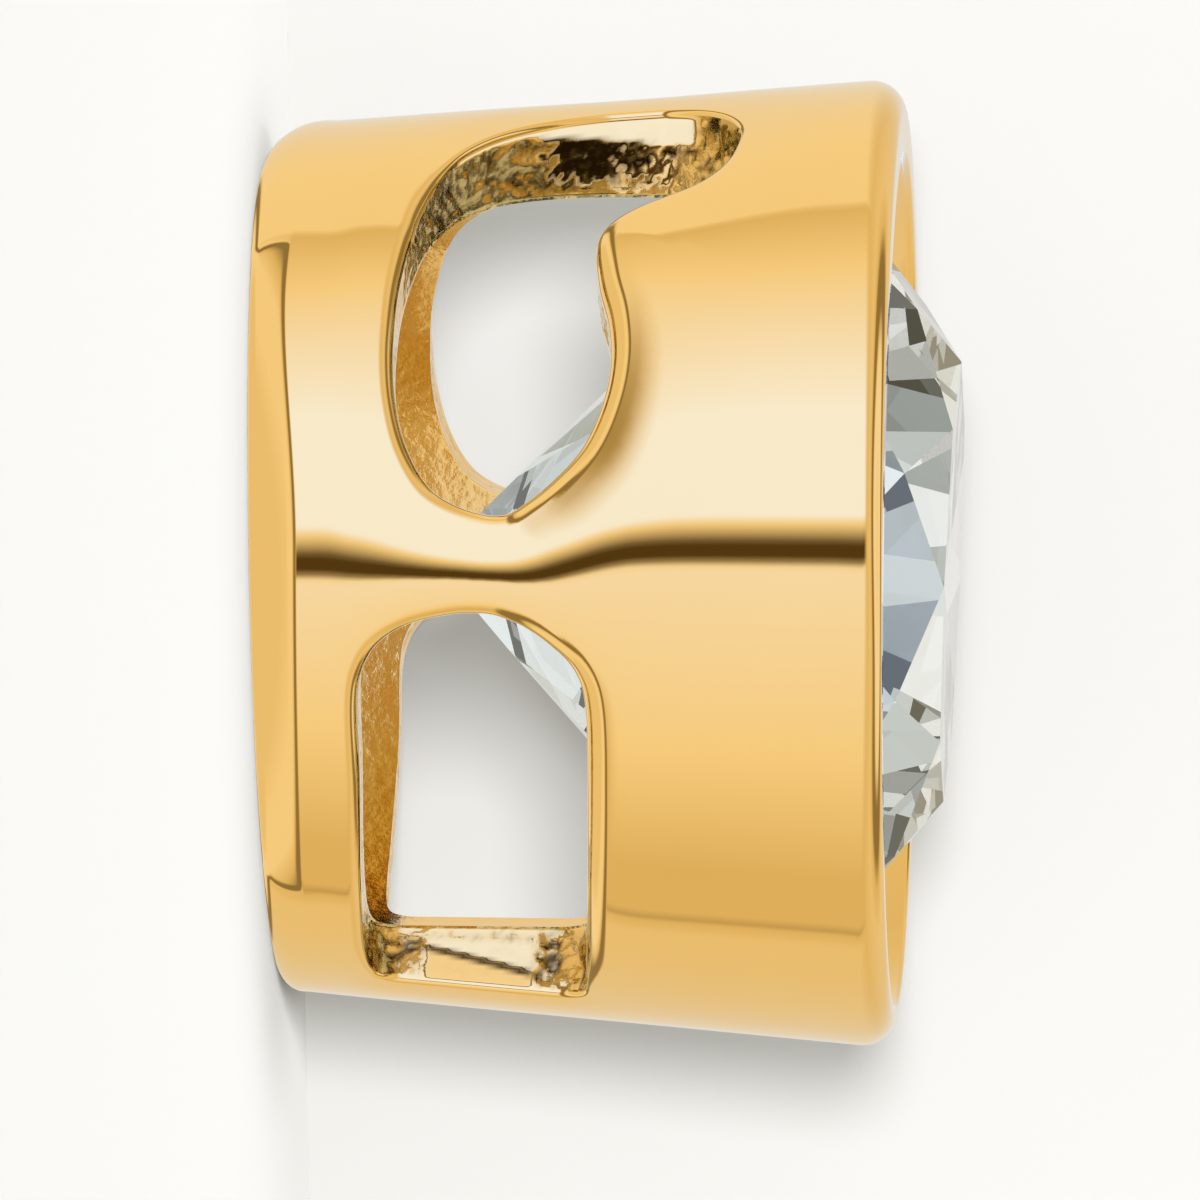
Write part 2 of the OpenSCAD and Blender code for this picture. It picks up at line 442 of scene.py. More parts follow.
def flats(o, s, z, t, points):
    """Facing, weight and painted shade of the small flats at share t of the wall."""
    deg = np.degrees(s / R_REF)
    jitter = np.array([noise.noise_vector(Vector(q) * 17) for q in points])
    spots = np.array([noise.noise(Vector(q) * 11) for q in points])
    if o is chain_way:
        on = step_up(deg, 62, 67) * step_up(z, 1.5, 1.62) * (1 - step_up(z, 3.45, 3.6))
        edge = step_up(t - top_edge(z), -0.03, 0.03)
        lower = 1 - step_up(t + 0.2 * spots, 0.72, 0.86)
        patch = step_up(z + 0.3 * spots, 2.24, 2.34) * (1 - step_up(z + 0.5 * spots, 2.9, 3.1)) * lower
        lively = step_up(z, 2.85, 3.0) * (1 - step_up(z, 3.3, 3.45)) * lower
        look = (1 - edge)[:, None] * WHITE + edge[:, None] * (DARK + (0.04 + 0.1 * lively)[:, None] * jitter)
        weight = on * np.maximum(1 - edge, patch + lively)
        # painted shade: a dark patch on the chain way's top face, and dark specks where it is lively
        flat_shade = patch * (0.95 + 1.6 * np.minimum(spots + 0.12, 0)) + lively * step_up(spots, 0.0, 0.2)
        return look, weight, on * edge * np.clip(flat_shade, 0, 1)
    on = step_up(-deg, 69, 71) * step_up(z, 1.3, 1.42) * (1 - step_up(z, 2.2, 2.3))
    off = t - crease(z)
    above = step_up(off, 0.02, 0.07)
    look = above[:, None] * WHITE + (1 - above)[:, None] * LIGHT + 0.04 * jitter
    weight = on * (1 - step_up(t, 0.7, 0.82)) * 0.95
    # painted shade: a dark line along the crease
    return look, weight, on * np.clip(1.6 - np.abs(off) / 0.055, 0, 1)


SEED = 1                # fixed, because Blender's vector noise starts somewhere else on each run without it
noise.seed_set(SEED)
walls = []
for o in OPENINGS:
    s, z = o.loop.T
    outer, _ = roll_out(o.loop)
    inner = bore_point(s / R_REF, z)
    rough = roughness_at(o, s, z)
    t = np.linspace(0, 1, ROWS + 1)
    rows = outer[None] * (1 - t)[:, None, None] + inner[None] * t[:, None, None]
    angle = s / R_REF
    away = (o.loop_normal[:, :1] * np.stack([-np.sin(angle), np.cos(angle), np.zeros(len(s))], 1)
            + o.loop_normal[:, 1:] * np.array([0, 0, 1.0]))
    painted_shade, look = np.zeros((ROWS + 1, len(s))), np.zeros((ROWS + 1, len(s), 3))
    facets = np.zeros((ROWS + 1, len(s)))
    for j in range(1, ROWS):
        fade = min(1.0, math.sin(math.pi * j / ROWS) * 1.6)
        look[j], facets[j], flat_shade = flats(o, s, z, np.full(len(s), t[j]), rows[j])
        h = np.array([cast_relief(q) for q in rows[j]])
        rows[j] += away * (h * RELIEF * rough * fade * (1 - 0.8 * facets[j]))[:, None]
        # painted shade: pits that the noise pushes into the wall get a dark colour, and so do the dark flats
        painted_shade[j] = step_up(h, 0.25, 0.75) * fade * (0.25 + 0.75 * rough) * (1 - facets[j])
        painted_shade[j] = np.maximum(painted_shade[j], flat_shade)
    n = len(s)
    quads = []
    for j in range(ROWS):
        for i in range(n):
            k = (i + 1) % n
            quads.append((j * n + i, j * n + k, (j + 1) * n + k, (j + 1) * n + i))
    cast = np.minimum(1, np.sin(np.pi * t) * 1.6)[:, None] * (0.4 + 0.6 * rough[None])
    cast = cast * (1 - 0.8 * facets)
    walls.append((rows.reshape(-1, 3), quads, cast.reshape(-1), painted_shade.reshape(-1), look.reshape(-1, 3),
                  facets.reshape(-1)))
print("cut faces:", [len(w[1]) for w in walls], "quads")

# %% [markdown]
# ## Rims
# Outside the two sheets the drum is a turned shape. Rings of points run from the bore over the
# flat back rim and its rounded corner to the outer skin, and at the front from the skin over
# the rim, down inside it, over the lip that holds the crown, and round the stone's seat.

# %% Rings of the back rim and the front rim
ANGLE = np.linspace(-math.pi / 2, math.pi / 2, ROUND + 1)
MIDDLE = np.degrees(ANGLE)
BACK_ROUND = (0.27 + 0.12 * (1 - step_up(MIDDLE, 2, 40)) * step_up(MIDDLE, -85, -55)
              + 0.2 * np.clip(np.sin(ANGLE), 0, 1) ** 6)
INNER_ROUND = 0.06      # radius of the back rim's inner corner
SEAT_FOOT = 4.16        # height at which the stone's seat runs out into the bore
TILT = math.atan(FLARE)


def ring(r, z, low=None):
    r = np.broadcast_to(r, ANGLE.shape)
    z = np.broadcast_to(z, ANGLE.shape)
    p = np.stack([r * np.cos(ANGLE), r * np.sin(ANGLE), z], 1)
    return p if low is None else trued(p, np.broadcast_to(low, ANGLE.shape))


def head_ring(r, z):
    return tipped(ring(r, z))


def facing_down(by):
    """Outward directions round the drum, tilted down by an angle in radians."""
    by = np.broadcast_to(by, ANGLE.shape)
    return np.stack([np.cos(by) * np.cos(ANGLE), np.cos(by) * np.sin(ANGLE), -np.sin(by)], 1)


def back_rings():
    rows = [trued(bore_point(ANGLE, BORE_LOW), np.full(ROUND + 1, BORE_LOW))]
    for t in np.radians((22, 45, 68, 90)):
        z = INNER_ROUND * (1 - math.sin(t))
        rows.append(trued(bore_point(ANGLE, z, INNER_ROUND * (1 - math.cos(t))), np.full(ROUND + 1, z)))
    z1 = BACK_ROUND * (1 + math.sin(TILT))
    rc = outer_r(z1) - BACK_ROUND * math.cos(TILT)
    flat_in = np.linalg.norm(rows[-1][:, :2], axis=1)
    for k in (0.5, 1.0):
        rows.append(ring(flat_in * (1 - k) + rc * k, 0.0, 0.0))
    normals = [np.zeros((ROUND + 1, 3))] * len(rows)
    # the corner is round, but its normals alone make it shine like a flat strip with a soft line at its edge
    line = 0.3 + 2.2 * step_up(MIDDLE, -50, -42) * (1 - step_up(MIDDLE, 40, 50))
    tilt = 0.3 + 0.7 * step_up(MIDDLE, -49, -47) * (1 - step_up(MIDDLE, 46.5, 48.5))
    for deg in (80, 70, 60, 50, 40, 30, 22, 15, 10, 7, 5, 3, 1.2, -0.6, -2.4, -3.8, -math.degrees(TILT)):
        t = math.radians(deg)
        z = BACK_ROUND * (1 - math.sin(t))
        rows.append(ring(rc + BACK_ROUND * math.cos(t), z, z))
        down = [np.interp(deg, [-4.9, max(-4.8, -1 - k), -1 + k, 1 + 2 * k, 8, 50, 70, 90],
                          [5 * m, 7 * m, 15 * m, 19 * m, 21 * m, 26 * m, 30 + 20 * m, 90])
                for k, m in zip(line, tilt)]
        normals.append(facing_down(np.radians(down)))
    rows.append(ring(outer_r(SKIN_LOW), SKIN_LOW, SKIN_LOW))
    normals.append(facing_down(TILT))
    return rows, normals


def front_rings():
    rise = CROWN_H - (STAR_R * math.cos(math.radians(HALF_FOLD)) - TABLE_R) * CROWN
    slope = rise / (STONE_R - STAR_R)
    pocket_r = STONE_R + FIT_GAP
    under = lambda r: -HALF_GIRDLE - (STONE_R - r) * PAVILION - FIT_GAP / math.cos(math.radians(PAVILION_A))
    over = lambda r: HALF_GIRDLE + (STONE_R - r) * slope + FIT_GAP * math.hypot(1, slope)
    rows = [ring(outer_r(SKIN_HIGH) - hand_polish(ANGLE * R_REF, np.full(ROUND + 1, SKIN_HIGH))[0], SKIN_HIGH)]
    rf = 0.15 + 0.12 * np.sin(ANGLE) ** 2
    zc = DEPTH - rf
    rc = outer_r(zc - rf * math.sin(TILT)) - rf * math.cos(TILT)
    polish = hand_polish(ANGLE * R_REF, np.full(ROUND + 1, 4.8))[0]
    for t in np.linspace(-TILT, math.pi / 2, 15):
        rows.append(ring(rc + rf * np.cos(t) - polish * math.cos(t), zc + rf * np.sin(t)))
    # the flat front ring's inner edge follows the tipped seat
    inner = lambda r, z: ring(r, z) - [0, STONE_DROP + 0.025, 0]
    edge = inner(RIM_IN_R + 0.045, DEPTH)
    rows += [rows[-1] * 0.5 + edge * 0.5, edge, inner(RIM_IN_R + 0.018, DEPTH - 0.008),
             inner(RIM_IN_R + 0.005, DEPTH - 0.03)]
    # then down inside the rim, over the lip, round the girdle's pocket and along the seat
    rim_z, top = DEPTH - GIRDLE_Z, over(LIP_R) + 0.05
    rows += [head_ring(r, z) for r, z in (
        (RIM_IN_R - 0.004, rim_z - 0.13), (RIM_IN_R - 0.03, rim_z - 0.17), (LIP_R + 0.05, top + 0.035),
        (LIP_R + 0.015, top + 0.012), (LIP_R, top - 0.015), (LIP_R, over(LIP_R) + 0.004),
        (pocket_r, over(pocket_r)), (pocket_r, under(pocket_r)), (BORE_R + 0.01, under(BORE_R + 0.01)))]
    rows += [bore_point(ANGLE, SEAT_FOOT, -0.002), bore_point(ANGLE, BORE_HIGH)]
    return rows, [np.zeros((ROUND + 1, 3))] * len(rows)


rims = [back_rings(), front_rings()]
print("rims:", [len(r[0]) for r in rims], "rings of", ROUND + 1, "points, on half of the drum")

# %% [markdown]
# ## One closed shell
# The pieces of one half are joined, mirrored across the drum's middle plane and welded along
# their shared edges. A solid casting must be one closed shell, so the open edges are counted.

# %% Join, mirror and weld
parts_v, parts_f, parts_n, parts_w, parts_c, parts_p = [], [], [], [], [], []


def add(verts, faces, normals=None, cast=0.0, painted_shade=0.0, weight=1.0):
    parts_v.append(np.asarray(verts))
    parts_f.append([tuple(f) for f in faces])
    parts_n.append(np.zeros((len(verts), 3)) if normals is None else normals)
    parts_w.append(np.broadcast_to(0.0 if normals is None else weight, (len(verts),)).astype(float))
    parts_c.append(np.broadcast_to(cast, (len(verts),)).astype(float))
    parts_p.append(np.broadcast_to(painted_shade, (len(verts),)).astype(float))


add(skin_xyz, outer_sheet[1], skin_normal)
add(bore_xyz, [t[::-1] for t in bore_sheet[1]], bore_normal, cast=0.6)
for xyz, quads, cast, painted_shade, look, facets in walls:
    add(xyz, quads, look, cast, painted_shade, facets)
for rows, normals in rims:
    grid, facing = np.vstack(rows), np.vstack(normals)
    n = ROUND + 1
    faces = [(j * n + i, j * n + i + 1, (j + 1) * n + i + 1, (j + 1) * n + i)
             for j in range(len(rows) - 1) for i in range(n - 1)]
    add(grid, faces, facing, weight=np.linalg.norm(facing, axis=1))
base, half_faces = 0, []
for v, f in zip(parts_v, parts_f):
    half_faces += [tuple(k + base for k in face) for face in f]
    base += len(v)
half_v, half_n = np.vstack(parts_v), np.vstack(parts_n)
half_w, half_c, half_p = np.concatenate(parts_w), np.concatenate(parts_c), np.concatenate(parts_p)
flip = np.array([-1, 1, 1.0])
all_v = np.vstack([half_v, half_v * flip])
all_n = np.vstack([half_n, half_n * flip])
all_w, all_c, all_p = np.tile(half_w, 2), np.tile(half_c, 2), np.tile(half_p, 2)
all_f = half_faces + [tuple(k + base for k in reversed(face)) for face in half_faces]

WELD = 5e-5             # points closer than this are one, in mm
tree = KDTree(len(all_v))
for i, p in enumerate(all_v):
    tree.insert(p, i)
tree.balance()
group = np.full(len(all_v), -1)
count = 0
for i, p in enumerate(all_v):
    if group[i] < 0:
        for _, k, _ in tree.find_range(p, WELD):
            if group[k] < 0:
                group[k] = count
        count += 1
first = np.full(count, -1)
first[group[::-1]] = np.arange(len(group))[::-1]
v = all_v[first]
wsum = np.zeros(count)
nsum = np.zeros((count, 3))
np.add.at(wsum, group, all_w)
np.add.at(nsum, group, all_n * all_w[:, None])
cmin = np.ones(count)
np.minimum.at(cmin, group, all_c)
painted_shade_welded = np.ones(count)
np.minimum.at(painted_shade_welded, group, all_p)
faces = []
for face in all_f:
    f = [int(group[k]) for k in face]
    f = [k for i, k in enumerate(f) if k != f[i - 1]]
    if len(set(f)) >= 3:
        faces.append(tuple(f))
used = Counter()
for f in faces:
    for i in range(len(f)):
        used[tuple(sorted((f[i], f[i - 1])))] += 1
open_edges = [e for e, k in used.items() if k != 2]
print("shell:", count, "points,", len(faces), "faces,", len(open_edges), "open edges")

# %% [markdown]
# ## From shell to mesh
# A polisher leaves a skin with no visible facets, so the exact slope of each rolled sheet is
# given to the mesh as its normals. The strip by the back rim and the small flats on the cut
# faces are in the normals alone: they turn the light there and leave the shape as it was.

# %% Mesh of the setting
mesh = bpy.data.meshes.new("gold_setting")
mesh.from_pydata((leaned(v) * 0.001).tolist(), [], faces)
mesh.update()
volume = 0.0
for p in mesh.polygons:
    ids = p.vertices
    a0 = mesh.vertices[ids[0]].co
    for i in range(1, len(ids) - 1):
        volume += a0.dot(mesh.vertices[ids[i]].co.cross(mesh.vertices[ids[i + 1]].co)) / 6
if volume < 0:
    mesh.flip_normals()
    mesh.update()
print("volume:", round(abs(volume) * 1e9, 1), "mm3")
mesh.polygons.foreach_set("use_smooth", [True] * len(mesh.polygons))
natural = np.empty(len(mesh.vertices) * 3)
mesh.vertices.foreach_get("normal", natural)
natural = natural.reshape(-1, 3)
exact = leaned(nsum / np.maximum(wsum, 1e-9)[:, None])
length = np.linalg.norm(exact, axis=1)
share = np.where(length > 0.5, np.clip(wsum, 0, 1), 0)[:, None]
shade = share * exact / np.maximum(length, 1e-9)[:, None] + (1 - share) * natural
shade /= np.linalg.norm(shade, axis=1)[:, None]
mesh.normals_split_custom_set_from_vertices(shade.tolist())
mesh.attributes.new("cast", "FLOAT", "POINT").data.foreach_set("value", cmin)
# painted shade for the gold material, from the cut faces' pits, dark patch and crease line
mesh.attributes.new("painted_shade", "FLOAT", "POINT").data.foreach_set("value", painted_shade_welded)
setting = bpy.data.objects.new("gold_setting", mesh)
bpy.context.scene.collection.objects.link(setting)
print("setting:", sum(len(p.vertices) - 2 for p in mesh.polygons), "triangles")

# %% [markdown]
# ## The stone, with Geometry Nodes
# A round brilliant is one wedge of facets repeated eight times: an eighth of the table, one
# star, one kite, upper and lower girdle facets and a pavilion main. The tree below sets eight
# turned copies of a wedge round the axis and welds them.

# %% One wedge of the brilliant
def wedge_mesh():
    half, top = HALF_GIRDLE, HALF_GIRDLE + CROWN_H
    star_z = top - (STAR_R * math.cos(math.radians(HALF_FOLD)) - TABLE_R) * CROWN
    part_z = -half - STONE_R * PAVILION + PART_R * math.cos(math.radians(HALF_FOLD)) * PAVILION

    def at(r, deg, z):
        return (r * math.cos(math.radians(deg)), r * math.sin(math.radians(deg)), z)

    names = {"mid": (0, 0, top), "table0": at(TABLE_R, 0, top), "table1": at(TABLE_R, 2 * HALF_FOLD, top),
             "star": at(STAR_R, HALF_FOLD, star_z), "star_back": at(STAR_R, -HALF_FOLD, star_z)}
    for k in range(3):
        names["top%d" % k] = at(STONE_R, k * HALF_FOLD, half)
    for k in range(3):
        names["low%d" % k] = at(STONE_R, k * HALF_FOLD, -half)
    names.update(part=at(PART_R, HALF_FOLD, part_z), part_back=at(PART_R, -HALF_FOLD, part_z),
                 culet=(0, 0, -half - STONE_R * PAVILION))
    ids = {n: i for i, n in enumerate(names)}
    faces = [("mid", "table0", "table1"), ("table0", "star", "table1"), ("table0", "star_back", "top0", "star"),
             ("top0", "top1", "star"), ("top1", "top2", "star"), ("top0", "low0", "low1", "top1"),
             ("top1", "low1", "low2", "top2"), ("low0", "part", "low1"), ("low1", "part", "low2"),
             ("low0", "part_back", "culet", "part")]
    me = bpy.data.meshes.new("wedge")
    me.from_pydata([tuple(c * 0.001 for c in p) for p in names.values()], [],
                   [tuple(ids[n] for n in f) for f in faces])
    me.update()
    return me


wedge = bpy.data.objects.new("wedge", wedge_mesh())
bpy.context.scene.collection.objects.link(wedge)
print("wedge:", len(wedge.data.polygons), "facets")

# %% [markdown]
# ## Eight wedges make a stone
# A cutter turns the stone on an index wheel and cuts the same facets at each stop. The tree
# does the same: points on a line, a turned copy of the wedge on each, and a weld. The number
# of folds is one input, so another cut needs one new number.

# %% Repeat the wedge round the axis
FOLDS, SAME_POINT = 8, 1e-6     # wedges in a stone, and the distance in metres at which two points are one


def facet_tree(material):
    tree = bpy.data.node_groups.new("round_of_facets", "GeometryNodeTree")
    face = tree.interface
    face.new_socket("Geometry", in_out="INPUT", socket_type="NodeSocketGeometry")
    face.new_socket("Folds", in_out="INPUT", socket_type="NodeSocketInt").default_value = FOLDS
    face.new_socket("Weld", in_out="INPUT", socket_type="NodeSocketFloat").default_value = SAME_POINT
    face.new_socket("Geometry", in_out="OUTPUT", socket_type="NodeSocketGeometry")
    node, link = tree.nodes.new, tree.links.new
    start, end = node("NodeGroupInput"), node("NodeGroupOutput")
    line = node("GeometryNodeMeshLine")
    line.mode = "OFFSET"
    line.inputs["Offset"].default_value = (0, 0, 0)
    link(start.outputs["Folds"], line.inputs["Count"])
    index = node("GeometryNodeInputIndex")
    part, turn_by = node("ShaderNodeMath"), node("ShaderNodeMath")
    part.operation, turn_by.operation = "DIVIDE", "MULTIPLY"
    part.inputs[0].default_value = 2 * math.pi
    turn_xyz = node("ShaderNodeCombineXYZ")
    link(start.outputs["Folds"], part.inputs[1])
    link(index.outputs[0], turn_by.inputs[0])
    link(part.outputs[0], turn_by.inputs[1])
    link(turn_by.outputs[0], turn_xyz.inputs["Z"])
    copies = node("GeometryNodeInstanceOnPoints")
    link(line.outputs["Mesh"], copies.inputs["Points"])
    link(start.outputs["Geometry"], copies.inputs["Instance"])
    link(turn_xyz.outputs[0], copies.inputs["Rotation"])
    real, weld = node("GeometryNodeRealizeInstances"), node("GeometryNodeMergeByDistance")
    finish = node("GeometryNodeSetMaterial")
    finish.inputs["Material"].default_value = material
    link(copies.outputs[0], real.inputs[0])
    link(real.outputs[0], weld.inputs[0])
    link(start.outputs["Weld"], weld.inputs["Distance"])
    link(weld.outputs[0], finish.inputs["Geometry"])
    link(finish.outputs[0], end.inputs[0])
    return tree


def make_stone(material):
    tree = facet_tree(material)
    mod = wedge.modifiers.new("facets", "NODES")
    mod.node_group = tree
    for item in tree.interface.items_tree:
        if item.in_out == "INPUT" and item.name == "Folds":
            mod[item.identifier] = FOLDS
        if item.in_out == "INPUT" and item.name == "Weld":
            mod[item.identifier] = SAME_POINT
    bpy.context.view_layer.update()
    made = bpy.data.meshes.new_from_object(wedge.evaluated_get(bpy.context.evaluated_depsgraph_get()))
    wedge.modifiers.clear()
    bpy.data.objects.remove(wedge)
    co = np.array([v.co[:] for v in made.vertices]) * 1000
    co = leaned(tipped(co)) * 0.001
    made.vertices.foreach_set("co", co.ravel())
    bm = bmesh.new()
    bm.from_mesh(made)
    bmesh.ops.dissolve_limit(bm, angle_limit=math.radians(0.5), verts=bm.verts, edges=bm.edges)
    bmesh.ops.recalc_face_normals(bm, faces=bm.faces)
    bm.to_mesh(made)
    bm.free()
    made.polygons.foreach_set("use_smooth", [False] * len(made.polygons))
    made.update()
    obj = bpy.data.objects.new("cut_stone", made)
    bpy.context.scene.collection.objects.link(obj)
    return obj


# %% [markdown]
# ## Materials
# Polished gold is a metal with a yellow base colour and almost no roughness. An attribute on the mesh
# turns the cast faces a darker, browner gold and turns up their roughness and a fine grain; a second
# attribute paints shade, nearly black, into their pits, onto a dark patch and along a crease line.

# %% Gold
def new_material(name):
    mat = bpy.data.materials.new(name)
    mat.use_nodes = True
    tree = mat.node_tree
    tree.nodes.clear()
    out = tree.nodes.new("ShaderNodeOutputMaterial")
    bsdf = tree.nodes.new("ShaderNodeBsdfPrincipled")
    tree.links.new(bsdf.outputs[0], out.inputs["Surface"])
    return mat, tree, bsdf


# These helpers put their nodes in whichever tree `node` and `link` belong to at the time
def socket_or_value(value, socket):
    if isinstance(value, bpy.types.NodeSocket):
        link(value, socket)
    else:
        socket.default_value = value


def maths(operation, first, second, clamp=False):
    made = node("ShaderNodeMath")
    made.operation, made.use_clamp = operation, clamp
    socket_or_value(first, made.inputs[0])
    socket_or_value(second, made.inputs[1])
    return made.outputs[0]


def spread(value, low, high, to_low=0.0, to_high=1.0):
    """Carries a value from one range over to another."""
    made = node("ShaderNodeMapRange")
    for name, number in (("From Min", low), ("From Max", high), ("To Min", to_low), ("To Max", to_high)):
        made.inputs[name].default_value = number
    link(value, made.inputs["Value"])
    return made.outputs["Result"]


def blend(factor, first, second):
    made = node("ShaderNodeMix")
    made.data_type = "RGBA"
    link(factor, made.inputs["Factor"])
    socket_or_value(first, made.inputs["A"])
    socket_or_value(second, made.inputs["B"])
    return made.outputs["Result"]


gold, tree, bsdf = new_material("polished_gold")
node, link = tree.nodes.new, tree.links.new
bsdf.inputs["Metallic"].default_value = 1.0
coords = node("ShaderNodeTexCoord")


def painted(name):
    """How much of something the mesh carries at each point."""
    made = node("ShaderNodeAttribute")
    made.attribute_name = name
    return made.outputs["Fac"]


def cloud(scale, detail):
    made = node("ShaderNodeTexNoise")
    made.inputs["Scale"].default_value, made.inputs["Detail"].default_value = scale, detail
    link(coords.outputs["Object"], made.inputs["Vector"])
    return made.outputs["Fac"]


cast = painted("cast")
polished = blend(cloud(900.0, 3.0), (0.925, 0.64, 0.25, 1), (0.905, 0.62, 0.235, 1))
as_cast = blend(cast, polished, (0.83, 0.54, 0.185, 1))
# Painted shade: an attribute turns the gold nearly black in the cast pits, on a dark patch and along a crease line
link(blend(painted("painted_shade"), as_cast, (0.08, 0.048, 0.016, 1)), bsdf.inputs["Base Color"])
link(spread(cast, 0.0, 1.0, 0.04, 0.17), bsdf.inputs["Roughness"])
bump = node("ShaderNodeBump")
bump.inputs["Distance"].default_value = 0.00002
link(maths("MULTIPLY", cast, 0.5), bump.inputs["Strength"])
link(cloud(9000.0, 5.0), bump.inputs["Height"])
link(bump.outputs["Normal"], bsdf.inputs["Normal"])
print("gold:", len(tree.nodes), "nodes")

# %% [markdown]
# ## The stone's clearness
# The stone is colourless and bends light strongly, and its facets are polished flat. It has
# no roughness, an index of 2.4, and a shine that is a little cool beside the gold.

# %% Clear stone
gem, tree, bsdf = new_material("clear_stone")
node, link = tree.nodes.new, tree.links.new
bsdf.inputs["Base Color"].default_value = (0.94, 0.97, 0.98, 1)
bsdf.inputs["Specular Tint"].default_value = (0.72, 0.86, 1.0, 1)
bsdf.inputs["Roughness"].default_value = 0.0
bsdf.inputs["IOR"].default_value = 2.4
bsdf.inputs["Transmission Weight"].default_value = 1.0
print("stone:", len(tree.nodes), "nodes")

# %% [markdown]
# ## Pieces in their places
# The stone-setter presses the lip over the crown, and the two pieces are one from then on.
# Here each piece rides on the root body, takes a material and stands for its CAD solid.

# %% Finish the pieces
setting.data.materials.append(gold)
stone = make_stone(gem)
print("stone facets:", len(stone.data.polygons), "box mm:", [round(c * 1000, 2) for c in stone.dimensions])
setting.visible_transmission = False     # a cut stone shows the sky that it gathers, and hardly its seat
for obj, name, slot in ((setting, "setting", "gold"), (stone, "stone", "stone")):
    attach(obj, "root")
    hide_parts(name)

# %% [markdown]
# ## Paper
# A small jewel is photographed on a pale paper, with another sheet behind it. Both are matt, so
# they take soft shadows, and both glow a little, which stands in for light from all round.

# %% Floor and backdrop
def flat_mesh(name, corners):
    me = bpy.data.meshes.new(name)
    me.from_pydata([tuple(c * 0.001 for c in p) for p in corners], [], [tuple(range(len(corners)))])
    me.update()
    ob = bpy.data.objects.new(name, me)
    bpy.context.scene.collection.objects.link(ob)
    ob.visible_glossy = ob.visible_transmission = False
    return ob


def paper(name, glow, shade):
    """A matt sheet that also glows a little; returns its tree, the mixed light and the output."""
    mat = bpy.data.materials.new(name)
    mat.use_nodes = True
    t = mat.node_tree
    t.nodes.clear()
    out = t.nodes.new("ShaderNodeOutputMaterial")
    plain = t.nodes.new("ShaderNodeBsdfDiffuse")
    plain.inputs["Color"].default_value = (shade, shade, shade, 1)
    light = t.nodes.new("ShaderNodeEmission")
    light.inputs["Color"].default_value = (*glow, 1)
    both = t.nodes.new("ShaderNodeAddShader")
    t.links.new(plain.outputs[0], both.inputs[0])
    t.links.new(light.outputs[0], both.inputs[1])
    return mat, t, both, out


PALE = np.array([0.945, 0.937, 0.904])      # what the open paper gives in the picture
SHEET_SHADE, SHEET_SUN = 0.2, 0.46          # how much the sheet shades, and the key light's part of its tone
FLOOR_SHADE, TOP_ON_FLOOR = 0.3, 1.0
DOME_ON_FLOOR, DOME_ON_SHEET, KEY_SHARE, TOP_SHARE = 0.81, 0.95, 0.55, 0.71     # of each light, that the paper gets
key_on_floor = KEY_SHARE * SHEET_SUN / SHEET_SHADE
glow = PALE - FLOOR_SHADE * (DOME_ON_FLOOR + key_on_floor + TOP_SHARE * TOP_ON_FLOOR)
mat, t, last, out = paper("floor_paper", glow, FLOOR_SHADE)
t.links.new(last.outputs[0], out.inputs["Surface"])
# The floor's paper has a nap that takes the key light as the sheet does, so that the seam hardly shows
nap = t.nodes.new("ShaderNodeCombineXYZ")
nap.inputs["X"].default_value, nap.inputs["Z"].default_value = -0.707, 0.707
t.links.new(nap.outputs[0], last.inputs[0].links[0].from_node.inputs["Normal"])
mat.cycles.use_bump_map_correction = False
floor = flat_mesh("floor", [(-90, -90, 0), (90, -90, 0), (90, 90, 0), (-90, 90, 0)])
floor.data.materials.append(mat)
lean_out = math.tan(TILT)
NEAR, WIDE = 3.6, 14        # the sheet's distance behind the drum's middle, and its half width and height, in mm
far = NEAR + lean_out * WIDE
backdrop = flat_mesh("backdrop", [(NEAR, WIDE, 0), (NEAR, -WIDE, 0), (far, -WIDE, WIDE), (far, WIDE, WIDE)])
# The sheet shows from its front alone, so that the drum can be seen from behind too
mat, t, last, out = paper("backdrop_paper", PALE + 0.05 - SHEET_SUN - DOME_ON_SHEET * SHEET_SHADE, SHEET_SHADE)
clear = t.nodes.new("ShaderNodeBsdfTransparent")
which = t.nodes.new("ShaderNodeNewGeometry")
pick = t.nodes.new("ShaderNodeMixShader")
t.links.new(which.outputs["Backfacing"], pick.inputs[0])
t.links.new(last.outputs[0], pick.inputs[1])
t.links.new(clear.outputs[0], pick.inputs[2])
t.links.new(pick.outputs[0], out.inputs["Surface"])
backdrop.data.materials.append(mat)
backdrop.visible_shadow = False
print("backdrop faces", tuple(round(c, 2) for c in backdrop.data.polygons[0].normal))

# %% [markdown]
# ## What the gold and the stone see
# Black cards put dark lines on polished metal, and silk and panels put bright ones. Five plain
# lights stand round the drum by their angles. The paper, the stone and the camera get lights
# of their own by ray type, which no real studio could do but which keeps each one adjustable.

# %% World
def colours(value, rows, place):
    """A colour ramp from rows of a place and the light that stands there."""
    made = node("ShaderNodeValToRGB")
    ramp = made.color_ramp
    for i, (at, light) in enumerate(rows):
        el = ramp.elements[i] if i < 2 else ramp.elements.new(place(at))
        el.position = place(at)
        el.color = (*light, 1)
    link(value, made.inputs[0])
    return made.outputs[0]


def mix(one, other, share):
    return tuple(x * (1 - share) + y * share for x, y in zip(one, other))


world = bpy.data.worlds.new("studio")
bpy.context.scene.world = world
world.use_nodes = True
world.cycles.sampling_method = "NONE"       # each surface finds the light by its own rays alone
t = world.node_tree
t.nodes.clear()
node, link = t.nodes.new, t.links.new
out = node("ShaderNodeOutputWorld")
coords = node("ShaderNodeTexCoord")
split = node("ShaderNodeSeparateXYZ")
link(coords.outputs["Generated"], split.inputs[0])
east, north, height = (split.outputs[k] for k in "XYZ")
